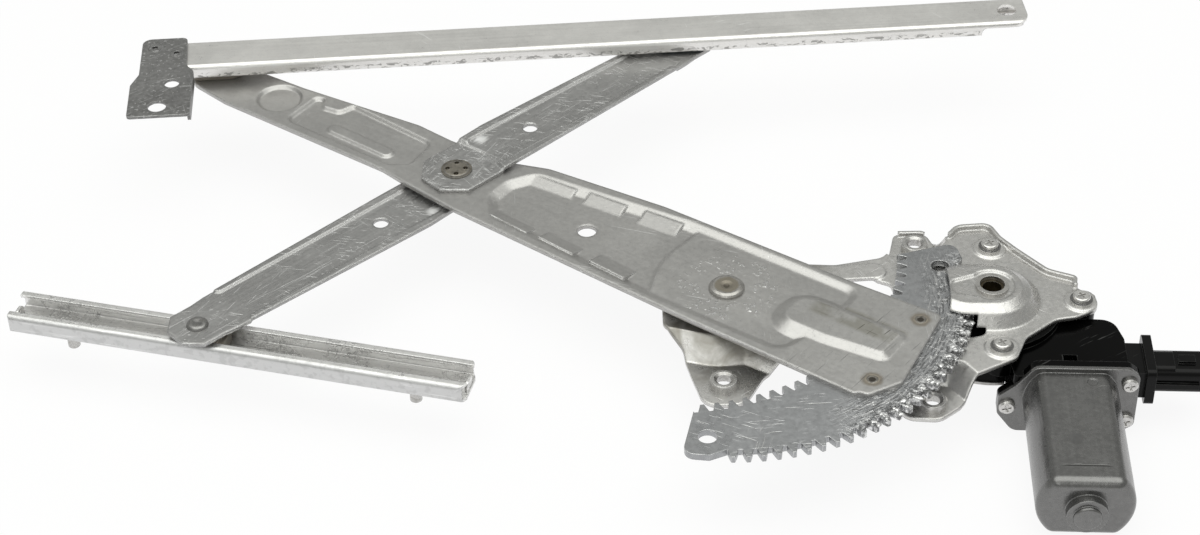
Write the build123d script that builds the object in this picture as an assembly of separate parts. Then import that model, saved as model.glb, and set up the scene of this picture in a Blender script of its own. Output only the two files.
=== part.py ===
from build123d import *
import math
import os

# Power window regulator with crossed arms, lying flat as it would be laid on a bench.
# +Z points out of the mechanism, +X runs along the lift rail towards the motor,
# +Y is the way the glass goes up. Everything is worked out about the main pivot,
# and save() then moves it so that the origin is where the first weld nut stands on its ear.
# All sizes are in millimetres and degrees.

# Linkage
link = 165.0                # main pivot to cross pivot, and cross pivot to each arm end
arm_angle = 39.4            # lift arm above the rail direction in the pose shown
guide_tilt = -18.4          # how far the loose guide rail is swung on its slider

# Sheet thickness
arm_t = 2.3
equalizer_t = 1.8
base_t = 2.0
rail_t = 1.5
bracket_t = 1.6
sector_t = 3.5

# Levels above the flat of the lift arm
running_gap = 0.2           # between faces that turn on each other
arm_pocket = 2.5            # depth pressed into the motor side of the arm
tip_pocket = 1.6            # depth pressed into the rail side of the arm
seat_rise = 0.8             # floor round the pivot above the floor of the deep recess
stiffener_rise = 2.3        # top of the stiffener above the flat
tray_step = 0.7             # upper equalizer tray above its cross pivot plate
tray_drop = 2.7             # lower equalizer tray below its cross pivot plate
rim_rise = 0.9              # raised long edges of both equalizer halves
rail_gap = 0.4              # lift rail above the highest rim
collar_t = 1.5              # collar between the lower equalizer and the guide slider

# Sector and pinion
module = 2.2
sector_teeth = 107          # teeth of the full circle
pinion_teeth = 9
tooth_shift = 0.4           # profile shift that keeps the small pinion strong
pressure_angle = 20.0
backlash = 0.12
teeth_above = 3             # teeth left above the pinion in the pose shown
teeth_below = 27
pinion_bearing = -5.75      # direction of the pinion from the main pivot
sector_head = 12.5
sector_tail = -106.0
blank_shift = 41.8          # neighbouring blank that cut the inner edge
blank_bearing = 131.0
sector_hole_radius = 106.0
sector_hole_d = 9.0
arm_reach = 107.4           # kept clear round the main pivot for the motor end of the arm

# Base plate
plate_gap = 1.6             # sector above the plate
bridge_rise = 8.8
bolt_seat = (-7.0, -53.0)
ear_seats = [bolt_seat, (99.5, 41.5), (88.0, -76.0)]
nut_d = 13.4
nut_height = 4.4
nut_bore = 6.8              # tapping size of the M8 thread
nut_sink = 1.0              # countersink on the open side
pivot_washer_t = 2.0
pivot_pin_d = 11.0
pivot_head_d = 17.4
bush_bore = 12.0
bush_wall = 0.9
screw_spots = [(39.4, 87.0), (43.2, -1.0), (36.8, -86.0)]   # radius and direction about the pinion
screw_d = 6.0
screw_head_d = 11.0

# Motor
motor_turn = -7.0
worm_offset = 35.0
worm_level = -25.0
housing_r = 34.0
housing_depth = 21.6
cover_t = 2.2
can_width = 45.0
can_flat = 33.0
can_length = 74.5
can_wall = 1.6
core_length = can_length - 42
can_start = 52.5
plug_level = -21.4          # middle of the plug socket
wheel_teeth = 60
wheel_module = 1.0
wheel_t = 9.0

# Rails and sliders
lift_rail_width = 25.0
lift_rail_depth = 8.5
lift_rail_left = -292.0
lift_rail_right = 188.0
rail_hole_d = 10.5
glass_hole_d = (8.0, 9.8)
guide_rail_width = 22.0
guide_rail_depth = 10.0
guide_rail_length = 232.0
guide_rail_behind = 95.6    # guide rail beyond its slider on the left
rail_lip = 3.2
stud_d = 6.0
stud_length = 12.0
stud_inset = 28.0
shoe_length = 28.0
shoe_gap = 0.3
shoe_proud = 0.6            # slider neck standing out of its slot
pin_d = 8.0
pin_gap = 0.05

# Worked out from the sizes above
cosine, sine = math.cos(math.radians(arm_angle)), math.sin(math.radians(arm_angle))
cross = (-link * cosine, link * sine)
arm_tip = (2 * cross[0], 2 * cross[1])
guide_pin = (2 * cross[0], 0.0)
upper_pin = (0.0, 2 * cross[1])
sector_top = -arm_t
sector_bottom = sector_top - sector_t
plate_top = sector_bottom - plate_gap
upper_low = running_gap / 2
upper_top = upper_low + equalizer_t
upper_floor = upper_top + tray_step
upper_rim = upper_floor + rim_rise
lower_top = -arm_t - running_gap
lower_floor = lower_top - tray_drop
lower_rim = lower_floor + rim_rise
lower_bottom = lower_floor - equalizer_t
lift_rail_low = upper_rim + rail_gap
lift_rail_top = lift_rail_low + lift_rail_depth
guide_rail_top = lower_bottom - running_gap - collar_t - shoe_proud
guide_rail_low = guide_rail_top - guide_rail_depth
door_face = guide_rail_low  # the guide rail and the base plate lie on the same door panel
ear_top = door_face + base_t
seat_top = -arm_pocket + seat_rise
boss_top = seat_top - arm_t - pivot_washer_t - 2 * running_gap
gear_spacing = module * (sector_teeth + pinion_teeth) / 2
pinion_x = gear_spacing * math.cos(math.radians(pinion_bearing))
pinion_y = gear_spacing * math.sin(math.radians(pinion_bearing))
bridge_top = plate_top + bridge_rise
housing_top = plate_top - base_t
housing_low = housing_top - housing_depth
tooth_step = 360 / sector_teeth
base_origin = (bolt_seat[0], bolt_seat[1], ear_top)


def shifted(x, y, z=0.0):
    return Pos(x, y, z)


def save(name, shape):
    solid = Pos(-base_origin[0], -base_origin[1], -base_origin[2]) * shape
    export_step(solid, f"parts/{name}.step")


def outline(*corners):
    """Flat face through (x, y, corner radius) points; a corner rounds by the radius that fits."""
    edges, count = [], len(corners)
    ends = [round_corner(corners[k - 1], corners[k], corners[(k + 1) % count]) for k in range(count)]
    for k, (start, middle, end) in enumerate(ends):
        if middle:
            edges.append(ThreePointArc(start, middle, end))
        after = ends[(k + 1) % count][0]
        if math.dist(end, after) > 1e-4:
            edges.append(Line(end, after))
    return make_face(edges)


def round_corner(before, corner, after):
    """Start, middle and end of the arc that rounds a corner."""
    x, y, r = corner
    ways = []
    for other in (before, after):
        length = math.hypot(other[0] - x, other[1] - y)
        ways.append(((other[0] - x) / length, (other[1] - y) / length, length))
    (ax, ay, a_long), (bx, by, b_long) = ways
    half = math.acos(max(-1.0, min(1.0, ax * bx + ay * by))) / 2
    if r == 0 or math.pi / 2 - half < 0.01:
        return (x, y), None, (x, y)
    back = min(r / math.tan(half), 0.49 * a_long, 0.49 * b_long)
    r = back * math.tan(half)
    mx, my = ax + bx, ay + by
    size = math.hypot(mx, my)
    inward = r / math.sin(half) - r
    return ((x + ax * back, y + ay * back), (x + mx / size * inward, y + my / size * inward),
            (x + bx * back, y + by * back))


def slab(face, top, t):
    return Pos(0, 0, top - t) * extrude(face, t)


def disc(r, low, high, at=(0, 0)):
    return Pos(at[0], at[1], low) * extrude(Circle(r), high - low)


def capsule(x0, y0, x1, y1, r):
    """Face with round ends about two points."""
    length = math.hypot(x1 - x0, y1 - y0)
    turn = math.degrees(math.atan2(y1 - y0, x1 - x0))
    return Pos((x0 + x1) / 2, (y0 + y1) / 2) * Rot(0, 0, turn) * SlotCenterToCenter(length, 2 * r)


def wedge(face, z, way, depth, slope):
    return extrude(Pos(0, 0, z) * face, amount=depth, dir=(0, 0, way), taper=slope)


def press(sheet, blank, t, level, face, depth, slope=50):
    """Push the sheet down by depth (up if negative) inside face, with sloped walls."""
    way = -1 if depth > 0 else 1
    near, far = (level, level - t) if depth > 0 else (level - t, level)
    column = Pos(0, 0, level - 30) * extrude(blank, 60)
    boss = wedge(face, far, way, abs(depth), slope)
    return (sheet + (boss & column)) - wedge(face, near, way, abs(depth), slope)


# Gear teeth

def involute(angle):
    return math.tan(angle) - angle


def tooth_half(teeth, shift, r):
    """Half the angle that a tooth covers at radius r, in radians."""
    pitch = module * teeth / 2
    alpha = math.radians(pressure_angle)
    base = pitch * math.cos(alpha)
    width = module * (math.pi / 2 + 2 * shift * math.tan(alpha)) - backlash
    at = math.acos(min(1.0, base / max(r, base)))
    return width / (2 * pitch) + involute(alpha) - involute(at)


def tooth_points(teeth, shift, middle):
    """Left to right points of one tooth about the direction middle, in degrees."""
    pitch = module * teeth / 2
    root = pitch - module * (1.25 - shift)
    tip = pitch + module * (1 + shift)
    radii = [root, pitch - 0.35 * module * (1 - shift), pitch + 0.35 * module, tip]
    points = []
    for r, side in [(r, -1) for r in radii] + [(r, 1) for r in reversed(radii)]:
        a = math.radians(middle) + side * tooth_half(teeth, shift, r)
        points.append((r * math.cos(a), r * math.sin(a)))
    return points


def toothed_face(first, last, head, tail):
    """Pie of the sector gear with teeth numbered first to last about the pinion gap."""
    root = module * sector_teeth / 2 - module * (1.25 + tooth_shift)
    edge = root + 1.9 * module
    points = [(0, 0)]
    for a in (tail, tail + 3, tail + 6):
        points.append((edge * math.cos(math.radians(a)), edge * math.sin(math.radians(a))))
    for number in range(first, last + 1):
        middle = pinion_bearing + (number - 0.5) * tooth_step
        points += tooth_points(sector_teeth, -tooth_shift, middle)
    for a in (head - 6, head - 3, head):
        points.append((edge * math.cos(math.radians(a)), edge * math.sin(math.radians(a))))
    return make_face(Polyline(*points, close=True))


def sector_gear():
    face = toothed_face(1 - teeth_below, teeth_above, sector_head, sector_tail)
    away = math.radians(blank_bearing)
    cutter = toothed_face(-32, 11, sector_head + 28, sector_tail - 12)
    face -= Pos(blank_shift * math.cos(away), blank_shift * math.sin(away)) * cutter
    body = slab(face, sector_top, sector_t)
    reach = module * sector_teeth / 2
    for bearing in (sector_head, sector_tail):
        a = math.radians(bearing)
        corner = (reach * math.cos(a), reach * math.sin(a), 0)
        upright = body.edges().filter_by(Axis.Z).sort_by_distance(corner)[0]
        body = fillet(upright, 5)
    for bearing in (sector_head - 8, sector_tail + 5):
        a = math.radians(bearing)
        at = (sector_hole_radius * math.cos(a), sector_hole_radius * math.sin(a))
        body -= disc(sector_hole_d / 2, sector_bottom - 1, sector_top + 1, at)
    return body


def output_pinion():
    """Sintered pinion with its hollow nose in the bush and its stem in the worm wheel."""
    points = []
    bearing = pinion_bearing + 180
    for number in range(pinion_teeth):
        points += tooth_points(pinion_teeth, tooth_shift, bearing + number * 360 / pinion_teeth)
    low, high = housing_top + running_gap, sector_top + 0.5
    gear = Pos(0, 0, low) * extrude(make_face(Polyline(*points, close=True)), high - low)
    nose = disc(bush_bore / 2 - pin_gap, high, bridge_top - 1.6)
    centre = disc(bush_bore / 2 - 1.4, bridge_top - 8, bridge_top)
    stem = disc(6.0, housing_low + 1.0, low)
    return shifted(pinion_x, pinion_y) * (gear + nose + stem - centre)


# Lift arm, drawn with X from the main pivot to the rail end and Y to the near side

def in_arm(shape):
    return Rot(0, 0, 180 - arm_angle) * shape


def arm_blank():
    return outline(
        (-97, -38.5, 3), (-52, -36.5, 30), (60, -35.5, 60), (link - 38, -29, 20),
        (link - 16, -21.5, 12), (link + 20, -20.5, 10), (link + 42, -22, 18),
        (2 * link - 50, -14.5, 12), (2 * link + 4, -12, 8), (2 * link + 13, 0, 8),
        (2 * link + 4, 15, 8), (2 * link - 22, 18.5, 20), (link + 34, 19, 20),
        (link + 18, 21.5, 15), (link - 18, 25.5, 30), (0, 31.5, 60), (-91, 33, 2),
        (-92.5, 31, 0.6), (-97, 30, 2), (-105.5, 14, 3))


def rail_pocket():
    """Deep recess of the motor side, from the curved step beside the pivot to the rail end."""
    return outline(
        (23, 27.3, 0), (34.5, 0, 50), (31, -33.3, 0), (42, -33.3, 20), (link - 34, -23, 12),
        (link - 25, -8, 12), (link - 25, 8, 12), (link - 36, 20.5, 9), (34, 27.3, 20))


def pivot_pocket():
    """Shallow recess round the pivot; it overlaps the deep one."""
    return outline(
        (31, 27.3, 0), (42.5, 0, 50), (39, -33.3, 0), (-57, -33.3, 8), (-56, -5, 8), (-48, 27.3, 12))


def wall_ramp(x0, x1, foot, width):
    """Wedge that eases the recess wall between x0 and x1; foot is where it meets the floor."""
    way = math.copysign(1, foot)
    side = make_face(Polyline((foot, -arm_pocket - 0.4), (foot, -arm_pocket), (foot + way * width, -0.3),
                              (foot + way * width, -arm_pocket - 0.4), close=True))
    side = Plane(origin=(x0, 0, 0), x_dir=(0, 1, 0), z_dir=(1, 0, 0)) * side
    ramp = extrude(side, x1 - x0)
    middle = Pos((x0 + x1) / 2, foot)
    return middle * Rot(0, 0, -4.5 * way) * Pos(-(x0 + x1) / 2, -foot) * ramp


def lift_arm():
    blank = arm_blank()
    arm = slab(blank, 0, arm_t)
    arm = press(arm, blank, arm_t, 0, pivot_pocket(), arm_pocket - seat_rise, 66)
    arm = press(arm, blank, arm_t, 0, rail_pocket(), arm_pocket, 66)
    for x0, x1, far_foot in ((44, 66, -19.6), (76, 98, -17.6), (105, 131, -15.6)):
        for foot, width in ((far_foot, 11.5 - 0.045 * x0), (12.4, 11.5 - 0.045 * x0)):
            ramp = wall_ramp(x0, x1, foot, width)
            arm = arm + ramp - Pos(0, 0, -arm_t) * ramp
    half = Pos(0, -50) * Rectangle(200, 100)
    seat = seat_top - arm_t
    arm += extrude(Pos(0, 0, seat) * (Circle(30.5) & half), arm_t)
    arm -= wedge(Circle(30.5) & half, 0.01, -1, -seat_top + 0.01, 35)
    tip = outline((link + 26, -14, 6), (2 * link - 82, -17.5, 2.5), (2 * link - 79, -9, 2.5),
                  (2 * link - 69, -7.5, 2.5), (2 * link - 66, -14, 2.5), (2 * link - 60, -12.5, 5),
                  (2 * link - 60, 13.5, 5), (link + 34, 14.5, 6), (link + 24, 8, 6))
    arm = press(arm, blank, arm_t, 0, tip, tip_pocket, 48)
    arm = press(arm, blank, arm_t, 0, Pos(2 * link - 45, 0) * Circle(12.5), tip_pocket, 48)
    arm = press(arm, blank, arm_t, -tip_pocket, capsule(link + 42, 5.5, link + 78, 4.5, 4.2), -1.2, 45)
    rise = wedge(stiffener_face(), seat_top, 1, stiffener_rise - seat_top, 60)
    hollow = wedge(stiffener_face(), seat_top - arm_t, 1, stiffener_rise - seat_top, 60)
    arm = arm + rise - hollow
    arm -= Pos(-90, 0, -arm_t - 4) * Box(56, 100, 8)
    holes = [(0, 0, pivot_pin_d / 2 + pin_gap), (83, 0, 4.8), (2 * link, 0, pin_d / 2),
             (link, 0, pin_d / 2 + 1 + pin_gap)]
    for x, y, r in holes:
        arm -= disc(r, -12, 8, (x, y))
    return in_arm(arm)


def stiffener_face():
    """Foot of the raised stiffener between pivot and sector."""
    return outline((-28, -19, 15), (-28, 14, 14), (-60, 14, 12), (-95, 9, 8), (-95, -20, 8))


def main_pivot_pin():
    """Riveted pin with a domed head that is dished in its middle."""
    r = pivot_head_d / 2
    head = disc(r, seat_top, seat_top + 0.9)
    head += Pos(0, 0, seat_top + 0.9) * extrude(Circle(r), 0.8, taper=40)
    head += Pos(0, 0, seat_top + 1.7) * extrude(Circle(r - 0.7), 0.6, taper=65)
    head -= Pos(0, 0, seat_top + 2.3) * Cone(0.6, 3.4, 0.9, align=(Align.CENTER, Align.CENTER, Align.MAX))
    shank = disc(pivot_pin_d / 2, boss_top - base_t, seat_top)
    foot = disc(r - 1.5, boss_top - base_t - 2.2, boss_top - base_t)
    return head + shank + foot


def pivot_washer():
    low = boss_top + running_gap
    ring = disc(14, low, low + pivot_washer_t) - disc(pivot_pin_d / 2 + pin_gap, low, low + pivot_washer_t)
    return chamfer(ring.edges().filter_by(GeomType.CIRCLE).group_by(SortBy.RADIUS)[-1], 0.5)


def rivet(at, low, high, head_low, head_high, r=pin_d / 2, head_r=None):
    """Shank with a formed head of the given thickness on each end."""
    head_r = head_r or r + 1.4
    pin = disc(r, low, high, at)
    if head_high:
        pin += Pos(at[0], at[1], high) * extrude(Circle(head_r), head_high, taper=20)
    if head_low:
        pin += Pos(at[0], at[1], low) * extrude(Circle(head_r), head_low, dir=(0, 0, -1), taper=20)
    return pin


def x_pivot_pin():
    """Stepped pin: the ends are staked in both equalizer halves, the middle turns in the arm."""
    pin = disc(pin_d / 2 + 1, lower_top, upper_low, cross)
    pin += disc(pin_d / 2, lower_top - equalizer_t, upper_top + 0.4, cross)
    pin += disc(pin_d / 2 + 4, upper_top, upper_top + 0.5, cross)
    for k in range(4):
        a = math.radians(arm_angle + 90 * k)
        at = (cross[0] + 3.6 * math.cos(a), cross[1] + 3.6 * math.sin(a))
        pin -= disc(0.8, upper_top - 0.4, upper_top + 1, at)
    return pin


# Equalizer, drawn with X from the cross pivot to the arm end

def in_upper(shape):
    return Pos(*cross) * Rot(0, 0, arm_angle) * shape


def in_lower(shape):
    return Pos(*cross) * Rot(0, 0, arm_angle + 180) * shape


def equalizer_blank():
    return outline(
        (-17.5, -7.3, 0), (-7.3, -17.5, 0), (9, -17.5, 4), (34, -17.5, 20), (link - 14, -15, 4),
        (link - 6, -14, 0), (link + 6, -14, 0), (link + 13.5, -6, 0), (link + 13.5, 6, 0),
        (link + 6, 14, 0), (link - 6, 14, 0), (link - 14, 15, 4), (34, 19, 20), (9, 17.5, 4),
        (-7.3, 17.5, 0), (-17.5, 7.3, 0))


def tray_outline():
    """Floor between the raised edges, open at the arm end."""
    return outline((17, -13, 5), (link - 22, -12.5, 2), (link - 18, -30, 2), (link + 30, -30, 2),
                   (link + 30, 30, 2), (link - 18, 30, 2), (link - 22, 12.5, 2), (17, 14.5, 5))


def equalizer_half(rim, cross_top):
    blank = equalizer_blank()
    half = slab(blank, rim, equalizer_t)
    half = press(half, blank, equalizer_t, rim, tray_outline(), rim_rise, 45)
    around = outline((-40, -40, 0), (14, -40, 2), (21, 0, 14), (14, 40, 2), (-40, 40, 0))
    half = press(half, blank, equalizer_t, rim, around, rim - cross_top, 50)
    for x, r in ((0, pin_d / 2), (51, 3.9), (link, pin_d / 2)):
        half -= disc(r, rim - 15, rim + 15, (x, 0))
    return half


def equalizer_upper():
    return in_upper(equalizer_half(upper_rim, upper_top))


def equalizer_lower():
    return in_lower(equalizer_half(lower_rim, lower_top))


# Rails and sliders

def channel_face(width, depth, t):
    """Lipped channel section, open downwards, its web at the top at zero height."""
    outer = Pos(0, -depth / 2) * RectangleRounded(width, depth, 2.4)
    inner = Pos(0, -depth / 2) * RectangleRounded(width - 2 * t, depth - 2 * t, 0.9)
    slot = Pos(0, -depth) * Rectangle(width - 2 * t - 2 * rail_lip, 3 * t)
    return outer - inner - slot


def channel(width, depth, x0, x1):
    face = Plane(origin=(x0, 0, 0), x_dir=(0, 1, 0), z_dir=(1, 0, 0)) * channel_face(width, depth, rail_t)
    return extrude(face, x1 - x0)


def lift_rail():
    rail = channel(lift_rail_width, lift_rail_depth, lift_rail_left, lift_rail_right)
    half = lift_rail_width / 2
    plan = outline((lift_rail_left, -half, 2), (lift_rail_right, -half, 8),
                   (lift_rail_right, half, 4), (lift_rail_left, half, 2))
    rail &= slab(plan, 1, 20)
    notch = Plane.XZ * outline((lift_rail_right - 26, -3, 3), (lift_rail_right + 2, -3, 0),
                               (lift_rail_right + 2, -20, 0), (lift_rail_right - 26, -20, 0))
    rail -= Pos(0, -half + 6, 0) * extrude(notch, 12)
    rail -= disc(rail_hole_d / 2, -5, 5, (lift_rail_right - 10.5, 0))
    return Pos(0, upper_pin[1], lift_rail_top) * rail


def glass_bracket():
    """Plate on the rail end, clinched twice, with a turned-down right edge."""
    level = lift_rail_top + bracket_t
    back = upper_pin[1] + lift_rail_width / 2 + 1.5
    left = lift_rail_left - 2
    blank = outline((left, back, 5), (left + 24, back, 3), (left + 25, back - 27, 4),
                    (left + 29, back - 33, 3), (left + 29, back - 73, 2), (left - 4, back - 73, 2),
                    (left - 4, back - 44, 3), (left, back - 34, 3))
    plate = slab(blank, level, bracket_t)
    flange = Pos(left + 29 - bracket_t / 2, back - 53, level - 3.2) * Box(bracket_t, 36, 6.4)
    flange = fillet(flange.edges().filter_by(Axis.X).group_by(Axis.Z)[0], 2.5)
    plate += flange
    for x, y in clinch_points():
        plate += disc(3.6, level, level + 0.5, (x, y))
        plate -= disc(1.6, level - bracket_t + 0.4, level + 1, (x, y))
    for place, d in zip(glass_holes(), glass_hole_d):
        plate -= disc(d / 2, level - 3, level + 3, place)
    return plate


def clinch_points():
    y = upper_pin[1] + 2
    return [(lift_rail_left + 5, y + 3), (lift_rail_left + 17, y - 3)]


def glass_holes():
    y = upper_pin[1] + lift_rail_width / 2
    return [(lift_rail_left + 16, y - 42), (lift_rail_left + 9.5, y - 63)]


def rail_shoe(width, depth):
    """Moulded slider: body in the channel, neck in its slot, foot outside; web side up, slot face at zero."""
    inside = depth - 2 * rail_t - 2 * shoe_gap
    slot = width - 2 * rail_t - 2 * rail_lip - 2 * shoe_gap
    body = Pos(0, 0, rail_t + shoe_gap + inside / 2) * Box(shoe_length, width - 2 * rail_t - 2 * shoe_gap, inside)
    body = fillet(body.edges().filter_by(Axis.Z), 3)
    neck_high = rail_t + shoe_gap + shoe_proud
    neck = Pos(0, 0, neck_high / 2 - shoe_proud) * Box(shoe_length - 4, slot, neck_high)
    for side in (-1, 1):
        relief = Pos(side * (shoe_length / 2 - 6), 0, rail_t + shoe_gap + inside) * Box(4, width, 1.6)
        body -= relief
    return body + neck


def lift_slider():
    """Slider on the lift arm tip; its round foot stands on the arm."""
    return rail_slider(arm_tip, 0.0)


def upper_slider():
    return rail_slider(upper_pin, upper_floor)


def rail_slider(at, seat):
    shoe = Pos(at[0], at[1], lift_rail_low) * rail_shoe(lift_rail_width, lift_rail_depth)
    foot_low, foot_high = seat + running_gap / 2, lift_rail_low - shoe_gap
    foot = Pos(at[0], at[1], (foot_low + foot_high) / 2) * Box(shoe_length, 16, foot_high - foot_low)
    foot = fillet(foot.edges().filter_by(Axis.Z), 6)
    joined = shoe + foot + disc(6.5, foot_low, lift_rail_low + rail_t, at)
    return joined - disc(pin_d / 2 + pin_gap, foot_low - 1, lift_rail_top - rail_t - 2.4, at)


def guide_collar():
    low, high = guide_rail_top + shoe_proud + running_gap / 2, lower_bottom - running_gap / 2
    return disc(8, low, high, guide_pin) - disc(pin_d / 2 + pin_gap, low, high, guide_pin)


def in_guide(shape):
    return Pos(guide_pin[0], guide_pin[1], guide_rail_low) * Rot(0, 0, guide_tilt) * Rot(180, 0, 0) * shape


def guide_slider():
    shoe = Pos(0, 0, -guide_rail_depth) * rail_shoe(guide_rail_width, guide_rail_depth)
    shoe -= disc(pin_d / 2 + pin_gap, -guide_rail_depth - 3, -rail_t - 2.4)
    return in_guide(shoe)


def guide_rail():
    rail = channel(guide_rail_width, guide_rail_depth, -guide_rail_behind, guide_rail_length - guide_rail_behind)
    half = guide_rail_width / 2
    for end, way in ((-guide_rail_behind, 1), (guide_rail_length - guide_rail_behind, -1)):
        rail += stop_tab(end, way)
    plan = outline((-guide_rail_behind, -half, 2), (guide_rail_length - guide_rail_behind, -half, 5),
                   (guide_rail_length - guide_rail_behind, half, 5), (-guide_rail_behind, half, 2))
    rail &= slab(plan, 1, 20)
    return in_guide(rail)


def stop_tab(end, way):
    """Tongue of the web bent up inside the channel so that the slider can't run out."""
    low = -rail_t - 5.0
    tab = Pos(end + way * 1.2, 0, low / 2) * Box(1.4, 8, -low)
    return fillet(tab.edges().filter_by(Axis.X).group_by(Axis.Z)[0], 2.5)


def stud_places():
    return [stud_inset - guide_rail_behind, guide_rail_length - guide_rail_behind - stud_inset]


def guide_rail_studs():
    studs = []
    for x in stud_places():
        stud = disc(stud_d / 2, 0, stud_length, (x, 0))
        studs.append(chamfer(stud.faces().sort_by(Axis.Z)[-1].edges(), 0.8))
    return in_guide(Compound(studs))


# Base plate

def base_blank():
    return outline(
        (-31, 5, 12), (-32.5, -17, 6), (-24, -29, 8), (-21.5, -45, 20), (-17.5, -66.5, 9), (1.5, -67, 9),
        (13, -48, 14), (32, -37, 14), (62, -43, 14), (71, -64, 8), (73, -83, 8), (90, -86, 9),
        (101, -78, 8), (109, -67, 8), (131, -57, 6), (138, -43, 10), (155, -31, 10), (165, -30, 4),
        (177, -25, 6), (177, -12, 6), (169.5, -9.5, 3), (171.5, -2.5, 3), (158.5, 4.5, 10),
        (146.5, 22, 10), (140.5, 32, 8), (137, 43.5, 6), (120, 43.5, 8), (112, 34, 5), (107, 53, 5),
        (91, 54, 4), (82, 24, 8), (56, 20, 14), (28, 24, 10), (4, 34, 14), (-18, 31, 12))


def base_plate():
    blank = base_blank()
    plate = slab(blank, plate_top, base_t)
    ears = [
        outline((-60, -18, 12), (-29, -20, 12), (-8, -28, 20), (8, -28, 12), (30, -44, 12), (40, -80, 12),
                (0, -100, 12), (-60, -100, 12)),
        outline((60, 80, 8), (83, 24, 8), (106, 25, 8), (113.5, 34, 7), (119, 80, 8)),
        outline((50, -50, 12), (84, -51, 12), (104, -54, 12), (124, -90, 12), (100, -120, 12), (50, -120, 12))]
    for ear, slope in zip(ears, (48, 30, 45)):
        plate = press(plate, blank, base_t, plate_top, ear, plate_top - ear_top, slope)
    plate = press(plate, blank, base_t, plate_top, Circle(25), plate_top - boss_top, 50)
    plate = press(plate, blank, base_t, plate_top, bridge_face(24), -bridge_rise + 2.6, 40)
    plate = press(plate, blank, base_t, bridge_top - 2.6, bridge_face(18.7), -2.6, 60)
    plate = press(plate, blank, base_t, bridge_top, teardrop_face(), 1.0, 45)
    plate = press(plate, blank, base_t, plate_top, capsule(34, 13, 74, 13, 6.5), -1.2, 45)
    for place in screw_places():
        plate = press(plate, blank, base_t, plate_top, Pos(*place) * Circle(8.5), -0.8, 45)
    plate += edge_flanges(blank)
    plate -= sector_passage()
    plate -= slab(window_face(), plate_top + 1, 4)
    plate -= disc(14.4, plate_top - base_t - 1, plate_top + 1, (pinion_x, pinion_y))
    slot = outline((106, -24, 2), (121.5, -26, 3), (119.5, -39.5, 4), (108, -41, 3))
    plate -= slab(slot, plate_top + 1, 4)
    plate -= disc(bush_bore / 2 + bush_wall, bridge_top - 5, bridge_top + 2, (pinion_x, pinion_y))
    plate -= disc(pivot_pin_d / 2, boss_top - 5, boss_top + 2)
    for place in screw_places():
        plate -= disc(screw_d / 2, plate_top - 5, plate_top + 3, place)
    for place in ear_seats:
        plate -= disc(nut_bore / 2 + 1.9, door_face - 1, ear_top + 1, place)
    return plate


def bridge_face(r):
    a = math.radians(pinion_bearing + 180)
    return capsule(pinion_x, pinion_y, pinion_x + 11 * math.cos(a), pinion_y + 11 * math.sin(a), r)


def teardrop_face():
    """Shallow recess round the bush that runs out to the open side of the bridge."""
    round_part = Pos(pinion_x, pinion_y) * Circle(11.5)
    tail = outline((pinion_x, pinion_y + 11, 0), (pinion_x - 20, pinion_y + 5, 4),
                   (pinion_x - 20, pinion_y - 4, 4), (pinion_x, pinion_y - 11, 0))
    return round_part + tail


def window_face():
    return outline((46, 7.5, 2), (73, 7.5, 5), (80.5, 3, 3), (82, -8, 3), (66, -12, 4), (44, -2, 3))


def sector_passage():
    """Space that the sector sweeps under the bridge, and the arm's end beside it."""
    reach = module * sector_teeth / 2 + 3.2
    under = disc(reach, sector_bottom - 0.7, sector_top + 0.6)
    return under + disc(arm_reach, sector_bottom - 0.7, bridge_top + 1)


def edge_flanges(blank):
    """Upturned far edge: one part beside the motor screws, one on the low ear."""
    ring = blank - offset(blank, -1.8)
    high = ring & outline((115, 60, 0), (115, 33, 0), (124, 38, 0), (131, 34, 0), (146, 6, 0),
                          (162, -8.5, 0), (200, -8.5, 0), (200, 60, 0))
    low = ring & outline((93, 60, 0), (93, 48, 0), (104, 48, 0), (112, 60, 0))
    return slab(high, plate_top + 2.6, 2.6 + base_t) + slab(low, ear_top + 2.4, 2.4 + base_t)


def screw_places():
    return [in_motor_point(*screw_spot(r, turn)) for r, turn in screw_spots]


def screw_spot(r, turn):
    return r * math.cos(math.radians(turn)), r * math.sin(math.radians(turn))


def weld_nuts():
    nuts = []
    for x, y in ear_seats:
        nut = disc(nut_d / 2, ear_top, ear_top + nut_height, (x, y))
        nut = chamfer(nut.faces().sort_by(Axis.Z)[-1].edges(), 0.5)
        nut -= disc(nut_bore / 2, ear_top - 1, ear_top + nut_height + 1, (x, y))
        sink = Cone(nut_bore / 2, nut_bore / 2 + 1.3 * nut_sink, nut_sink, align=(Align.CENTER, Align.CENTER, Align.MAX))
        nut -= Pos(x, y, ear_top + nut_height) * sink
        nuts.append(nut)
    return Compound(nuts)


def pinion_bush():
    at = (pinion_x, pinion_y)
    r = bush_bore / 2
    tube = disc(r + bush_wall, bridge_top - 1.0 - base_t, bridge_top + 0.5, at)
    tube += disc(r + bush_wall + 1.2, bridge_top - 1.0, bridge_top + 0.5, at)
    return tube - disc(r, bridge_top - 6, bridge_top + 3, at)


# Motor, drawn about the pinion axis with the can along -Y

def in_motor(shape):
    return Pos(pinion_x, pinion_y) * Rot(0, 0, motor_turn) * shape


def in_motor_point(x, y):
    a = math.radians(motor_turn)
    return (pinion_x + x * math.cos(a) - y * math.sin(a), pinion_y + x * math.sin(a) + y * math.cos(a))


def along_can(face, start, length):
    """Extrude a face drawn across the can axis from start towards the can's far end."""
    plane = Plane(origin=(worm_offset, -start, worm_level), x_dir=(1, 0, 0), z_dir=(0, -1, 0))
    return extrude(plane * face, length)


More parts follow.
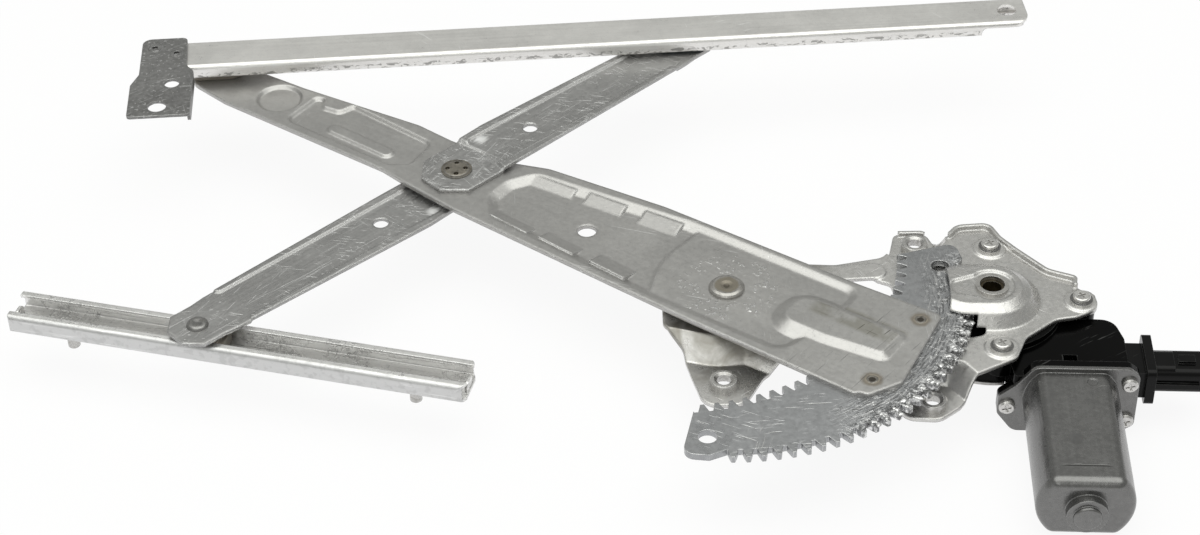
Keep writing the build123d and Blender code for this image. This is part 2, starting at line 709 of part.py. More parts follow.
def screw(at, under, length, head_d, head_t, washer=True):
    body = disc(screw_d / 2 - 0.1, under - length, under, at)
    head = disc(head_d / 2 - 1.2, under, under + head_t, at)
    head = fillet(head.faces().sort_by(Axis.Z)[-1].edges(), 1.0)
    head += disc(head_d / 2, under, under + 0.9, at)
    for turn in (20, 110):
        slot = Rot(0, 0, turn) * Box(4.6, 1.0, 1.8)
        head -= Pos(at[0], at[1], under + head_t) * slot
    return body + head


def motor_mount_screws():
    under = plate_top + 0.8
    return Compound([screw(place, under, 9, screw_head_d, 3.2) for place in screw_places()])


def gear_housing():
    body = disc(housing_r, housing_low, housing_top)
    shoulder = housing_top - 3.3
    body += slab(neck_face(), shoulder, 29.2) + wedge(neck_face(), shoulder, 1, 1.8, 42)
    body += along_can(Circle(9.5), -17, can_start)
    for r, turn in screw_spots:
        x, y = screw_spot(r, turn)
        body += slab(capsule(x, y, 0.7 * x, 0.7 * y, 7), housing_top, 10)
        body -= disc(screw_d / 2, housing_top - 9, housing_top + 1, (x, y))
    for k in range(7):
        a = math.radians(105 + 20 * k)
        rib = Pos(29 * math.cos(a), 29 * math.sin(a), housing_top - 6) * Rot(0, 0, math.degrees(a)) * Box(14, 1.6, 11)
        body += rib
    seat = along_can(Circle(can_flat / 2 - can_wall - 2.2), can_start - 2, -16)
    body += along_can(flange_face(), can_start - 2, -4)
    body -= disc(wheel_r() + 2.2, housing_low - 1, worm_level + wheel_t / 2 + 0.6)
    body -= along_can(Circle(7.2), -15, can_start + 16)
    body -= seat
    body -= disc(6.1, housing_low - 1, housing_top + 1)
    return in_motor(body)


def neck_face():
    """Outline of the part of the housing that carries the can and the plug."""
    return outline((worm_offset - 25, -6, 6), (worm_offset + 23, -8, 8), (worm_offset + 27, -22, 4),
                   (worm_offset + 27, 2 - can_start, 2), (worm_offset - 27, 2 - can_start, 2),
                   (worm_offset - 29, -36, 4))


def wheel_r():
    return wheel_module * wheel_teeth / 2


def gear_housing_cover():
    cover = disc(housing_r + 0.8, housing_low - cover_t, housing_low)
    cover = fillet(cover.faces().sort_by(Axis.Z)[0].edges(), 1.2)
    for a in (45, 135, 225):
        x, y = (housing_r + 2) * math.cos(math.radians(a)), (housing_r + 2) * math.sin(math.radians(a))
        cover += disc(4, housing_low - 1.4, housing_low, (x, y))
    cover -= slab(offset(neck_face(), 0.3), housing_top, 40)
    cover -= along_can(Circle(9.8), -18, can_start)
    return in_motor(cover)


def can_face(inset=0.0):
    face = Circle(can_width / 2 - inset) & Rectangle(can_width, can_flat - 2 * inset)
    return fillet(face.vertices(), 5)


def flange_face():
    return outline((-34, -9, 4), (-26, -20, 6), (24, -20, 4), (31, -15, 4), (31, 15, 4), (26, 19, 3),
                   (-18, 19, 6), (-26, 8, 8), (-34, 1, 4))


def can_screw_places():
    return [(-29.5, -4.5), (26.5, 10.5), (26.5, -11.5)]


def motor_can():
    can = along_can(can_face(), can_start, can_length)
    end = can.faces().sort_by(Axis.Y)[0]
    can = fillet(end.edges(), 4.8)
    can -= along_can(can_face(can_wall), can_start - 1, can_length - can_wall + 1)
    can += along_can(flange_face() - can_face(can_wall), can_start - 2, 2)
    can += along_can(Circle(9.5), can_start + can_length - can_wall, 4.5 + can_wall)
    can += along_can(Circle(6.5), can_start + can_length + 4.5, 2)
    can = fillet(can.edges().filter_by(GeomType.CIRCLE).sort_by(Axis.Y)[0], 1.2)
    can -= along_can(Circle(5.5), can_start + can_length - can_wall - 1, 5.6)
    dimple = Pos(worm_offset + 8, -can_start - 6, worm_level + can_flat / 2) * Cylinder(2.4, 1.0)
    can -= dimple
    for x, z in can_screw_places():
        can -= along_can(Pos(x, z) * Circle(2), can_start - 3, 4)
    return in_motor(can)


def can_screws():
    screws = []
    for x, z in can_screw_places():
        head = along_can(Pos(x, z) * Circle(3.9), can_start, 2.4)
        head = chamfer(head.faces().sort_by(Axis.Y)[0].edges(), 0.8)
        for turn in (15, 105):
            head -= along_can(Pos(x, z) * Rot(0, 0, turn) * Rectangle(4.4, 0.9), can_start + 1.2, 2)
        shank = along_can(Pos(x, z) * Circle(1.95), can_start - 2, 2)
        screws.append(head + shank)
    return in_motor(Compound(screws))


def connector_housing():
    """Collar and shell of the plug socket, open at its outer end."""
    start = worm_offset + 27
    y, z = -34.5, plug_level
    block = Pos(start + 4, y, z) * Box(8, 22, 15)
    collar = Pos(start + 10.2, y + 1, z) * Box(4.4, 30, 20.5)
    collar = fillet(collar.edges().filter_by(Axis.X), 3)
    shell = Pos(start + 24.2, y, z) * Box(24, 18.4, 13.5)
    shell = fillet(shell.edges().filter_by(Axis.X), 3.5)
    step = Pos(start + 17, y - 0.5, z + 0.8) * Box(10, 15, 14)
    step = fillet(step.edges().filter_by(Axis.X), 3)
    latch = Pos(start + 28, y, z + 7.2) * Box(8, 5, 1.8)
    rib = Pos(start + 23, y - 9.7, z - 1) * Box(21, 2, 3)
    mouth = Pos(start + 26.2, y, z) * Box(22, 15, 10.5)
    mouth = fillet(mouth.edges().filter_by(Axis.X), 2.4)
    return in_motor(block + collar + shell + step + latch + rib - mouth)


def connector_pins():
    start = worm_offset + 27
    pins = []
    for y in (-38.0, -31.0):
        pin = Pos(start + 19.2, y, plug_level) * Box(8, 2.4, 0.9)
        pins.append(chamfer(pin.faces().sort_by(Axis.X)[-1].edges(), 0.35))
    return in_motor(Compound(pins))


def worm_wheel():
    r = wheel_r()
    low, high = worm_level - wheel_t / 2, worm_level + wheel_t / 2
    wheel = disc(r + 0.5, low, high)
    gap = Pos(r + 0.6, 0, low - 1) * extrude(RegularPolygon(0.8, 6), wheel_t + 2)
    for k in range(wheel_teeth):
        wheel -= Rot(0, 0, 360 * (k + 0.5) / wheel_teeth) * gap
    for side in (low, high):
        wheel -= disc(r - 4, side - 2.2, side + 2.2) - disc(11, side - 2.2, side + 2.2)
    wheel -= disc(6.0, low - 1, high + 1)
    return in_motor(wheel)


def armature_shaft():
    """Shaft with the worm turned on its end."""
    long = can_length + can_start + 16
    shaft = along_can(Circle(2.6), -14, long)
    start = -11.0
    worm = along_can(Circle(3.2), start, 22)
    for k in range(7):
        worm += along_can(Circle(worm_offset - wheel_r() - 0.6), start + 0.6 + math.pi * wheel_module * k, 1.3)
    return in_motor(shaft + worm)


def armature_core():
    face = Circle(14.5) - Circle(2.6)
    for k in range(8):
        mouth = Pos(13.2, 0) * Rectangle(4, 1.6) + Pos(9.2, 0) * Rectangle(5, 4.6)
        face -= Rot(0, 0, 45 * k) * mouth
    return in_motor(along_can(face, can_start + 26, core_length))


def armature_windings():
    coils = []
    for start in (can_start + 20, can_start + 26.2 + core_length):
        coil = along_can(Circle(11.5) - Circle(2.6), start, 5.6)
        coils.append(chamfer(coil.edges().filter_by(GeomType.CIRCLE).group_by(SortBy.RADIUS)[-1], 1.6))
    return in_motor(Compound(coils))


def commutator():
    face = Circle(6.5) - Circle(2.6)
    for k in range(8):
        face -= Rot(0, 0, 22.5 + 45 * k) * Pos(6.5, 0) * Rectangle(1.6, 0.5)
    return in_motor(along_can(face, can_start + 6, 11))


def can_magnets():
    ring = (Circle(19.6) & Rectangle(45, can_flat - 2 * can_wall - 0.2)) - Circle(15.3)
    poles = []
    for side in (-1, 1):
        half = ring & Pos(side * 16, 0) * Rectangle(16, 40)
        poles.append(along_can(half, can_start + 22, core_length + 8))
    return in_motor(Compound(poles))


def brush_holder():
    card = Circle(14.2) - Circle(7.2)
    body = along_can(card, can_start + 2.0, 2.5)
    for side in (-1, 1):
        body += along_can(Pos(side * 10.4, 0) * Rectangle(6.8, 6), can_start + 4.5, 9)
    return in_motor(body)


def rear_bearing():
    start = can_start + can_length - can_wall
    return in_motor(along_can(Circle(5.4) - Circle(2.65), start, 4.2))


os.makedirs("parts", exist_ok=True)
pieces = {
    "base_plate": base_plate, "base_weld_nuts": weld_nuts, "pinion_bush": pinion_bush,
    "motor_mount_screws": motor_mount_screws, "gear_housing": gear_housing,
    "gear_housing_cover": gear_housing_cover, "motor_can": motor_can, "can_screws": can_screws,
    "connector_housing": connector_housing, "connector_pins": connector_pins,
    "can_magnets": can_magnets, "brush_holder": brush_holder, "rear_bearing": rear_bearing,
    "worm_wheel": worm_wheel, "output_pinion": output_pinion, "armature_shaft": armature_shaft,
    "armature_core": armature_core, "armature_windings": armature_windings,
    "commutator": commutator, "main_pivot_pin": main_pivot_pin, "pivot_washer": pivot_washer,
    "lift_arm": lift_arm, "sector_gear": sector_gear, "x_pivot_pin": x_pivot_pin,
    "equalizer_upper": equalizer_upper, "equalizer_lower": equalizer_lower,
    "lift_slider": lift_slider, "upper_slider": upper_slider, "guide_collar": guide_collar,
    "guide_slider": guide_slider, "lift_rail": lift_rail, "glass_bracket": glass_bracket,
    "guide_rail": guide_rail, "guide_rail_studs": guide_rail_studs,
}
for name, make in pieces.items():
    save(name, make())
save("lift_slider_pin", rivet(arm_tip, -arm_t, lift_rail_top - rail_t - 3.0, 0.6, 0))
save("upper_slider_pin", rivet(upper_pin, upper_floor - equalizer_t, lift_rail_top - rail_t - 3.0, 0.0, 0))
save("guide_slider_pin", rivet(guide_pin, guide_rail_low + rail_t + 2.5, lower_floor, 0, 1.0))
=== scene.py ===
import math

import bpy
import numpy as np
from mathutils import Matrix, Vector


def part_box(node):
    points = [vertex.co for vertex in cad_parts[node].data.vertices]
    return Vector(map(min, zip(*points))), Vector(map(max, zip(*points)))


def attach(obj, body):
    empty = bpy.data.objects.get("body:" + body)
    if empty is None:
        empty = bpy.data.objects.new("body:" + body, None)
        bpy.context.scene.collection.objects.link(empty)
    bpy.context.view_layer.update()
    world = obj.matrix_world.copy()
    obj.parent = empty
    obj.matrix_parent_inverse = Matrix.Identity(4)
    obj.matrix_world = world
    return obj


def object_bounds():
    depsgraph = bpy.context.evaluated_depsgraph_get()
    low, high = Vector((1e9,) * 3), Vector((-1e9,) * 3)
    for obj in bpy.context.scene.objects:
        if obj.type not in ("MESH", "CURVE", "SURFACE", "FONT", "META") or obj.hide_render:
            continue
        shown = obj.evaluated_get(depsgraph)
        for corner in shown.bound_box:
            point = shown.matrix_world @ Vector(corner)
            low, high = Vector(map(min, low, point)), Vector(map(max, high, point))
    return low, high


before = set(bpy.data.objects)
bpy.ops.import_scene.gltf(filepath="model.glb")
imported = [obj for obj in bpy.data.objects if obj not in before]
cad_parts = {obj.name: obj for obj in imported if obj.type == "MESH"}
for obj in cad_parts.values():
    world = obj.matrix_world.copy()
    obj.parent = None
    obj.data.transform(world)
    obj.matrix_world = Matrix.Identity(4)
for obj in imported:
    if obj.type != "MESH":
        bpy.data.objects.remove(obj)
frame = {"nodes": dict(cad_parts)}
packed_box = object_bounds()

# Looks of the crossed-arm window regulator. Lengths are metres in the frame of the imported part:
# +X along the lift rail, +Y the way the glass rises, +Z out of the door.

mm = 0.001
nodes = frame["nodes"]


# Places and sizes that the finishes and the small pieces share

def middle(node):
    low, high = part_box(node)
    return (low + high) / 2


def top(node):
    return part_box(node)[1].z


main_pivot = middle("main_pivot_pin")
cross_pivot = middle("x_pivot_pin")
guide_pivot = middle("guide_slider_pin")
pinion_axis = middle("pinion_bush")
can_end = middle("rear_bearing")

arm_turn = math.atan2(cross_pivot.y - main_pivot.y, cross_pivot.x - main_pivot.x)
equalizer_turn = -arm_turn
guide_turn = math.radians(-18.4)
can_turn = math.radians(-97)

arm_flat = 17.3 * mm  # height of the lift arm's flat blank
channel_length = -90 * mm, -44 * mm  # crown of the arm's channel, along the arm from the main pivot
channel_width = -18.5 * mm, -4 * mm  # the same across the arm
guide_inner = 9.5 * mm  # half the guide rail's width inside its wall

sector_teeth, pinion_teeth = 107, 9  # of the full circle
pitch_radius = (pinion_axis - main_pivot).to_2d().length * sector_teeth / (sector_teeth + pinion_teeth)
tooth_pitch = 2 * math.pi / sector_teeth
greased_teeth = math.radians(-62), math.radians(-16)  # bearings from the main pivot
grease_film = -66, 6  # the same for the film, in degrees

crater_ring = 4.6 * mm  # radius of the ring of stake marks on the crossing pin
crater_bearings = np.radians(np.arange(4) * 90 - 4)


def along_arm(x, y):
    """Point of the lift arm by its distance from the main pivot and from its middle line."""
    return Vector((main_pivot.x + x * math.cos(arm_turn) - y * math.sin(arm_turn),
                   main_pivot.y + x * math.sin(arm_turn) + y * math.cos(arm_turn), 0))


weld_spots = [along_arm(-90 * mm, -30 * mm), along_arm(-93 * mm, 20 * mm)]


# Shader maths

class Wire:
    """A value that varies over a surface. Sums and products of wires add Math nodes."""

    def __init__(self, nodes, socket):
        self.nodes, self.socket = nodes, socket

    def maths(self, operation, *others, clamp=False):
        return self.nodes.node("ShaderNodeMath", {"operation": operation, "use_clamp": clamp},
                               dict(enumerate((self, *others))))

    def __add__(self, other):
        return self.maths("ADD", other)

    def __mul__(self, other):
        return self.maths("MULTIPLY", other)

    def __sub__(self, other):
        return self.maths("SUBTRACT", other)

    def __rsub__(self, other):
        return (self * -1.0) + other

    __radd__, __rmul__ = __add__, __mul__

    def clear(self):
        """Kept between 0 and 1."""
        return self.maths("ADD", 0.0, clamp=True)

    def size(self):
        """Without its sign."""
        return self.maths("ABSOLUTE")

    def most(self, other):
        return self.maths("MAXIMUM", other)

    def step(self, low, high):
        """0 below low and 1 above high, with a smooth rise, or the fall where high is below low."""
        return self.nodes.node("ShaderNodeMapRange", {"interpolation_type": "SMOOTHSTEP"},
                               {"Value": self, "From Min": low, "From Max": high})

    def band(self, low, high, soft):
        """1 between low and high, with edges that fade over soft on each side."""
        return self.step(low - soft, low + soft) * self.step(high + soft, high - soft)


class Nodes:
    """Nodes of a material or of the world, which end in its output."""

    def __init__(self, owner, end):
        owner.use_nodes = True
        self.tree = owner.node_tree
        self.tree.nodes.clear()
        self.end = self.tree.nodes.new(end).inputs[0]

    def node(self, kind, settings=None, inputs=None, output=0):
        """A node by its type, its settings (stops are a ramp's) and the values or wires of its sockets."""
        made = self.tree.nodes.new(kind)
        for name, value in (settings or {}).items():
            if name == "stops":
                self.lay_stops(made.color_ramp.elements, value)
            else:
                setattr(made, name, value)
        for name, value in (inputs or {}).items():
            self.plug(made.inputs[name], value)
        return Wire(self, made.outputs[output])

    def lay_stops(self, elements, stops):
        elements.remove(elements[1])
        for number, (place, colour) in enumerate(stops):
            stop = elements.new(place) if number else elements[0]
            stop.position, stop.color = place, colour

    def plug(self, socket, value):
        if isinstance(value, Wire):
            self.tree.links.new(value.socket, socket)
        else:
            socket.default_value = value

    def part(self, vector, which):
        """X, Y or Z of a vector, as 0, 1 or 2."""
        return self.node("ShaderNodeSeparateXYZ", {}, {0: vector}, which)

    def mix(self, share, first, second):
        """Colour that goes from first to second as share goes from 0 to 1."""
        return self.node("ShaderNodeMix", {"data_type": "RGBA"}, {0: share, 6: first, 7: second}, 2)


class Finish(Nodes):
    """A material, with the patterns its surface is worked out from."""

    def __init__(self, name):
        self.material = bpy.data.materials.new(name)
        super().__init__(self.material, "ShaderNodeOutputMaterial")
        self.surface = self.node("ShaderNodeBsdfPrincipled")
        self.plug(self.end, self.surface)
        self.place = self.node("ShaderNodeTexCoord", output="Object")

    def set(self, **values):
        """Shader sockets by name, with _ for a space."""
        for name, value in values.items():
            self.plug(self.surface.socket.node.inputs[name.replace("_", " ")], value)
        return self

    def turned(self, angle, scale):
        """Object coordinates turned about +Z and then stretched."""
        turn = self.node("ShaderNodeMapping", {"vector_type": "TEXTURE"},
                         {"Vector": self.place, "Rotation": (0, 0, angle)})
        return self.node("ShaderNodeMapping", {}, {"Vector": turn, "Scale": scale})

    def noise(self, scale, detail=3.0, rough=0.55, place=None, warp=0.0):
        """Cloudy pattern from 0 to 1, with a scale of so many patches in a metre."""
        return self.node("ShaderNodeTexNoise", {}, {
            "Vector": place or self.place, "Scale": scale, "Detail": detail, "Roughness": rough,
            "Distortion": warp})

    def near(self, point, reach=1.0):
        """Distance to a point in the plane of the arms, as a share of reach."""
        away = self.node("ShaderNodeVectorMath", {"operation": "SUBTRACT"},
                         {0: self.place, 1: (point[0], point[1], 0)})
        away = self.node("ShaderNodeVectorMath", {"operation": "MULTIPLY"}, {0: away, 1: (1, 1, 0)})
        return self.node("ShaderNodeVectorMath", {"operation": "LENGTH"},
                         {0: away}, "Value") * (1 / reach)

    def local(self, point, angle):
        """Coordinates along and across a line through a point, in the plane of the arms."""
        place = self.node("ShaderNodeMapping", {"vector_type": "TEXTURE"}, {
            "Vector": self.place, "Location": (point[0], point[1], 0), "Rotation": (0, 0, angle)})
        return self.part(place, 0), self.part(place, 1)

    def polar(self, point):
        """Distance from a point and bearing in degrees, in the plane of the arms."""
        along, across = self.local(point, 0.0)
        return self.near(point), across.maths("ARCTAN2", along) * math.degrees(1)

    def rounded(self, radius):
        """Normal that is rounded at the edges."""
        return self.node("ShaderNodeBevel", {"samples": 6}, {"Radius": radius})

    def edges(self, rounded):
        """1 on outer and inner edges, 0 on flats."""
        flat = self.node("ShaderNodeNewGeometry", output="Normal")
        same = self.node("ShaderNodeVectorMath", {"operation": "DOT_PRODUCT"},
                         {0: rounded, 1: flat}, "Value")
        return (1.0 - same).step(0.01, 0.16)

    def facing(self, which):
        """How far the surface faces along X, Y or Z, from -1 to 1."""
        return self.part(self.node("ShaderNodeNewGeometry", output="Normal"), which)

    def relief(self, height, depth, rounded=None):
        """Bump whose height runs from 0 to 1 over depth metres."""
        wires = {"Height": height, "Distance": depth, "Strength": 1.0}
        if rounded:
            wires["Normal"] = rounded
        return self.node("ShaderNodeBump", {}, wires)


def tint(red, green, blue):
    return red, green, blue, 1.0


def shade(value, warmth=0.0):
    """Grey with a little warmth (or coolness, below 0)."""
    return tint(value * (1 + warmth), value * (1 + warmth * 0.25), value * (1 - warmth))


def scaled(colour, share):
    return tint(*(part * share for part in colour[:3]))


class Skin(Finish):
    """A finish in layers. Its height is in tenths of a millimetre."""

    def __init__(self, name, round_off):
        super().__init__(name)
        self.normal = self.rounded(round_off)
        self.colour, self.rough, self.metal, self.height = None, 0.4, 0.85, self.noise(1500, 2) * 0.2

    def layer(self, share, colour=None, rough=None, metal=None, height=None):
        """Lay a colour, a roughness, a metallic value or a height over what is there, by its share."""
        if colour is not None:
            self.colour = self.mix(share, self.colour, colour)
        if rough is not None:
            self.rough = self.rough + share * (rough - self.rough)
        if metal is not None:
            self.metal = self.metal + share * (metal - self.metal)
        if height is not None:
            self.height = self.height + share * height

    def soften(self, radius):
        """Round pressed folds further than cut edges."""
        self.normal = self.rounded(radius)

    def close(self):
        return self.set(Base_Color=self.colour, Roughness=self.rough, Metallic=self.metal,
                        Normal=self.relief(self.height, 0.1 * mm, self.normal))

    def scratches(self, angle, length, width, amount):
        """Fine straight marks along one direction, of about a length and a width."""
        line = self.noise(1.0, 1.0, 0.4, self.turned(angle, (1 / length, 1 / width, 1 / width)))
        patch = self.noise(30, 2, 0.5, self.turned(angle, (0.5, 1, 1)))
        return line.step(0.66, 0.74) * patch.step(0.66 - amount * 0.3, 0.72 - amount * 0.2)


# Materials that several pieces share

def zinc(name, light, dark, rough, angle=0.0, streak=0.5, marks=0.5, sheen_and_wear=0.5, warmth=0.01, soot=0.4):
    """Zinc-coated pressed steel: clouds, rolling streaks along an angle, mottling, pits, scratches,
    a film of soot, and edges lightened partly as wear and partly as a painted highlight. streak, marks and
    soot say how much of each there is, and the edge setting how far the edges are lightened."""
    skin = Skin(name, 0.7 * mm)
    cloud = skin.noise(26, 4, 0.6, warp=0.4)
    rolled = skin.noise(1.0, 3, 0.6, skin.turned(angle, (8, 560, 560)))
    mottle = skin.noise(420, 3, 0.6)
    tone = cloud * 0.3 + rolled * (0.7 * streak) + mottle * (0.7 * (1 - streak))
    skin.colour = skin.mix(tone.step(0.24, 0.76), shade(dark, warmth), shade(light, warmth))
    skin.rough = (rough + (cloud - 0.5) * 0.24 + (mottle - 0.5) * 0.16
                  + (rolled - 0.5) * (0.2 * streak))
    skin.height = skin.height + rolled * (1.1 * streak) + mottle * 0.5
    pits = skin.noise(1250, 2, 0.5).step(0.62, 0.72)
    skin.layer(pits * 0.35, shade(dark * 0.6), height=-0.5)
    scratch_ways = ((0.3, 16 * mm, 0.8 * mm), (-0.9, 10 * mm, 0.7 * mm), (1.7, 12 * mm, 0.8 * mm))
    for turn, length, width in scratch_ways:
        mark = skin.scratches(angle + turn, length, width, marks)
        skin.layer(mark * min(1.0, 0.4 + marks), shade(light * 1.45), rough * 0.8, height=-0.8)
    film = skin.noise(70, 5, 0.65, warp=0.6).step(0.6, 0.8) * soot
    skin.layer(film, shade(dark * 0.5, 0.04), rough + 0.1)
    # Edges lightened: partly worn metal, partly a painted highlight along the rounded edges.
    edge_highlight_and_wear = skin.edges(skin.normal) * skin.noise(110, 3).step(0.3, 0.55) * sheen_and_wear
    skin.layer(edge_highlight_and_wear, shade(min(0.92, light * 1.7)), rough * 0.7)
    return skin


def machined(name, light, dark, rough, warmth=0.02, grime=0.4, rings_at=None):
    """Small steel piece: plain grain or rings turned about a point, grime in patches, and edges lightened
    partly as wear and partly as a painted highlight.
    """
    skin = Skin(name, 0.3 * mm)
    grain = skin.noise(1500, 2, 0.6)
    patch = skin.noise(300, 4, 0.6, warp=0.5)
    tone = patch * 0.7 + grain * 0.3
    if rings_at is not None:
        turned = skin.node("ShaderNodeCombineXYZ", {}, {0: skin.near(rings_at)})
        tone = tone + (skin.noise(4200, 1, 0.5, turned) - 0.5) * 0.5
    skin.colour = skin.mix(tone.step(0.32, 0.68), shade(dark, warmth), shade(light, warmth))
    skin.rough, skin.metal = rough + (patch - 0.5) * 0.3, 0.9
    skin.height = skin.height + grain * 0.4 + patch * 0.4
    skin.layer(patch.step(0.5, 0.66) * grime, shade(dark * 0.3, 0.12), rough + 0.15, 0.54)
    # Painted highlight along the edges, with some wear.
    skin.layer(skin.edges(skin.normal) * 0.7, shade(min(0.9, light * 1.5)), rough * 0.8)
    return skin


def moulded(name, colour, rough, scuff=0.3, gloss=0.35):
    """Moulded plastic: fine spark texture, soft flow clouds and pale edges, which are partly scuffs and
    partly a painted highlight.
    """
    skin = Skin(name, 0.5 * mm)
    cloud = skin.noise(45, 3, 0.5, warp=0.3)
    worn = tint(*(min(1, part * 1.7 + 0.10) for part in colour[:3]))
    skin.colour = skin.mix(cloud.step(0.3, 0.7), scaled(colour, 0.75), scaled(colour, 1.25))
    skin.rough, skin.metal = rough + (cloud - 0.5) * 0.15, 0.0
    skin.height = skin.noise(2600, 2, 0.6) * 0.25 + cloud * 0.5
    # Pale edges: partly scuffs, partly a painted highlight along the edges. The scuff setting scales both
    # this layer and the scratches.
    skin.layer(skin.edges(skin.normal) * skin.noise(140, 3).step(0.3, 0.6) * scuff, worn)
    skin.layer(skin.scratches(0.5, 12 * mm, 0.7 * mm, 0.4) * scuff, worn, rough + 0.15)
    return skin.set(Specular_IOR_Level=gloss).close()


def wound(name, colour, across):
    """Enamelled wire in even turns."""
    finish = Finish(name)
    turns = finish.node("ShaderNodeTexWave", {"wave_type": "BANDS", "bands_direction": across},
                        {"Scale": 420.0, "Distortion": 1.2, "Detail": 1.0}, "Fac")
    return finish.set(Base_Color=finish.mix(turns, scaled(colour, 0.35), colour),
                      Roughness=0.3 + finish.noise(180, 3) * 0.2, Metallic=0.6,
                      Normal=finish.relief(turns, 0.3 * mm))


def burn(skin, spot):
    """Colours of a spot weld: brown halo, pale ring and dark hollow middle."""
    halo = 6.2 * mm
    spread = skin.near(spot, halo) + (skin.noise(240, 4, 0.6) - 0.5) * 0.45
    skin.layer(spread.step(1.0, 0.62) * 0.75, tint(0.17, 0.14, 0.10), 0.5, 0.6)
    skin.layer(spread.band(0.42, 0.52, 0.06) * 0.6, tint(0.42, 0.37, 0.29), 0.3)
    skin.layer(spread.step(0.44, 0.30), tint(0.03, 0.025, 0.018), 0.45, 0.3, height=-2.0)


# Finishes of single pieces

def arm_finish():
    """Warm zinc with weld burns, spatter round the pivot, and old grease and creases on the channel."""
    skin = zinc("arm_zinc", 0.50, 0.41, 0.34, arm_turn, 0.3, marks=0.2, sheen_and_wear=0.8, warmth=0.02, soot=0.2)
    skin.soften(2.0 * mm)
    for spot in weld_spots:
        burn(skin, spot)
    spatter = (skin.noise(560, 2, 0.5).step(0.58, 0.63) * skin.noise(90, 2).step(0.45, 0.6)
               * skin.near(main_pivot).band(11 * mm, 24 * mm, 3 * mm))
    skin.layer(spatter, shade(0.8), 0.12, height=3.0)
    along, across = skin.local(main_pivot, arm_turn)
    crown = (along.band(*channel_length, 3 * mm) * across.band(*channel_width, 1.5 * mm)
             * skin.facing(2).step(0.9, 0.98))
    skin.layer(crown * skin.noise(75, 4, 0.6).step(0.3, 0.55) * 0.6, tint(0.25, 0.24, 0.20), 0.42)
    scuff = (skin.scratches(arm_turn + 1.4, 10 * mm, 0.9 * mm, 1.0)
             + skin.scratches(arm_turn, 14 * mm, 1.0 * mm, 1.0))
    skin.layer(crown * scuff.clear() * 0.8, tint(0.07, 0.065, 0.05), 0.5)
    crease = (skin.scratches(arm_turn + 1.5, 22 * mm, 0.8 * mm, 0.6) * along.step(-30 * mm, -50 * mm)
              + skin.scratches(arm_turn + 0.05, 18 * mm, 0.8 * mm, 0.3) * along.step(-60 * mm, -90 * mm))
    skin.layer(crease.clear() * 0.7, shade(0.10), 0.5, height=-1.0)
    return skin.close()


def base_finish():
    """Bright zinc, with brown grime and painted shade on the boss under the arm, and a wet film round the
    pinion.
    """
    skin = zinc("base_zinc", 0.68, 0.55, 0.28, 0.3, 0.15, marks=0.2, sheen_and_wear=1.0, warmth=0.02, soot=0.2)
    skin.soften(1.6 * mm)
    # Brown grime and painted shade on the boss, where the lift arm overhangs it.
    boss_grime_and_shade = skin.near(main_pivot).step(62 * mm, 40 * mm)
    grime = skin.noise(45, 4, 0.6, warp=0.8).step(0.35, 0.65)
    skin.layer(boss_grime_and_shade * grime * 0.85, tint(0.24, 0.225, 0.19), 0.36)
    from_pinion = skin.near(pinion_axis)
    wet = from_pinion.step(34 * mm, 22 * mm) * skin.noise(240, 3, 0.5, warp=1.0).step(0.5, 0.62)
    skin.layer(wet * 0.35, shade(0.6), 0.14, height=1.0)
    skin.layer(from_pinion.step(26 * mm, 22 * mm) * 0.35, shade(0.4, 0.02))
    return skin.close()


def equalizer_finish():
    """Grey zinc drawn along the arm, rubbed round the crossing pin, with a painted highlight where the
    blank bends up.
    """
    skin = zinc("equalizer_zinc", 0.46, 0.33, 0.30, equalizer_turn, 0.6, marks=0.7, sheen_and_wear=1.0, soot=0.3)
    skin.soften(1.8 * mm)
    rubbed = (skin.scratches(0.9, 7 * mm, 0.7 * mm, 1.6) + skin.scratches(-0.4, 6 * mm, 0.7 * mm, 1.6)
              + skin.scratches(2.2, 8 * mm, 0.7 * mm, 1.6)).clear()
    ring = skin.near(cross_pivot).band(7 * mm, 19 * mm, 2 * mm)
    skin.layer(ring * rubbed, shade(0.72), 0.2, height=-0.6)
    # Painted highlight on the slopes where the blank bends up near the crossing pin, broken up by streaks.
    along, across = skin.local(cross_pivot, equalizer_turn + math.pi)
    bend = (along.size().band(21 * mm, 30 * mm, 5 * mm) * across.size().band(7.5 * mm, 13.5 * mm, 3 * mm)
            * (along * across).step(20 * mm * mm, 120 * mm * mm))
    highlight_streaks = skin.noise(1.0, 3, 0.6, skin.turned(equalizer_turn, (70, 420, 420)))
    skin.layer((bend + (highlight_streaks - 0.5) * 0.9).step(0.30, 0.95), shade(0.90), 0.40, 0.55)
    drawn = skin.scratches(equalizer_turn, 30 * mm, 0.9 * mm, 0.8)
    skin.layer(drawn * 0.7, shade(0.7), 0.2, height=-0.6)
    nicks = skin.noise(620, 2, 0.5).step(0.64, 0.70) * skin.noise(60, 2).step(0.46, 0.6)
    skin.layer(nicks * 0.8, shade(0.75), 0.25, height=-0.8)
    return skin.close()


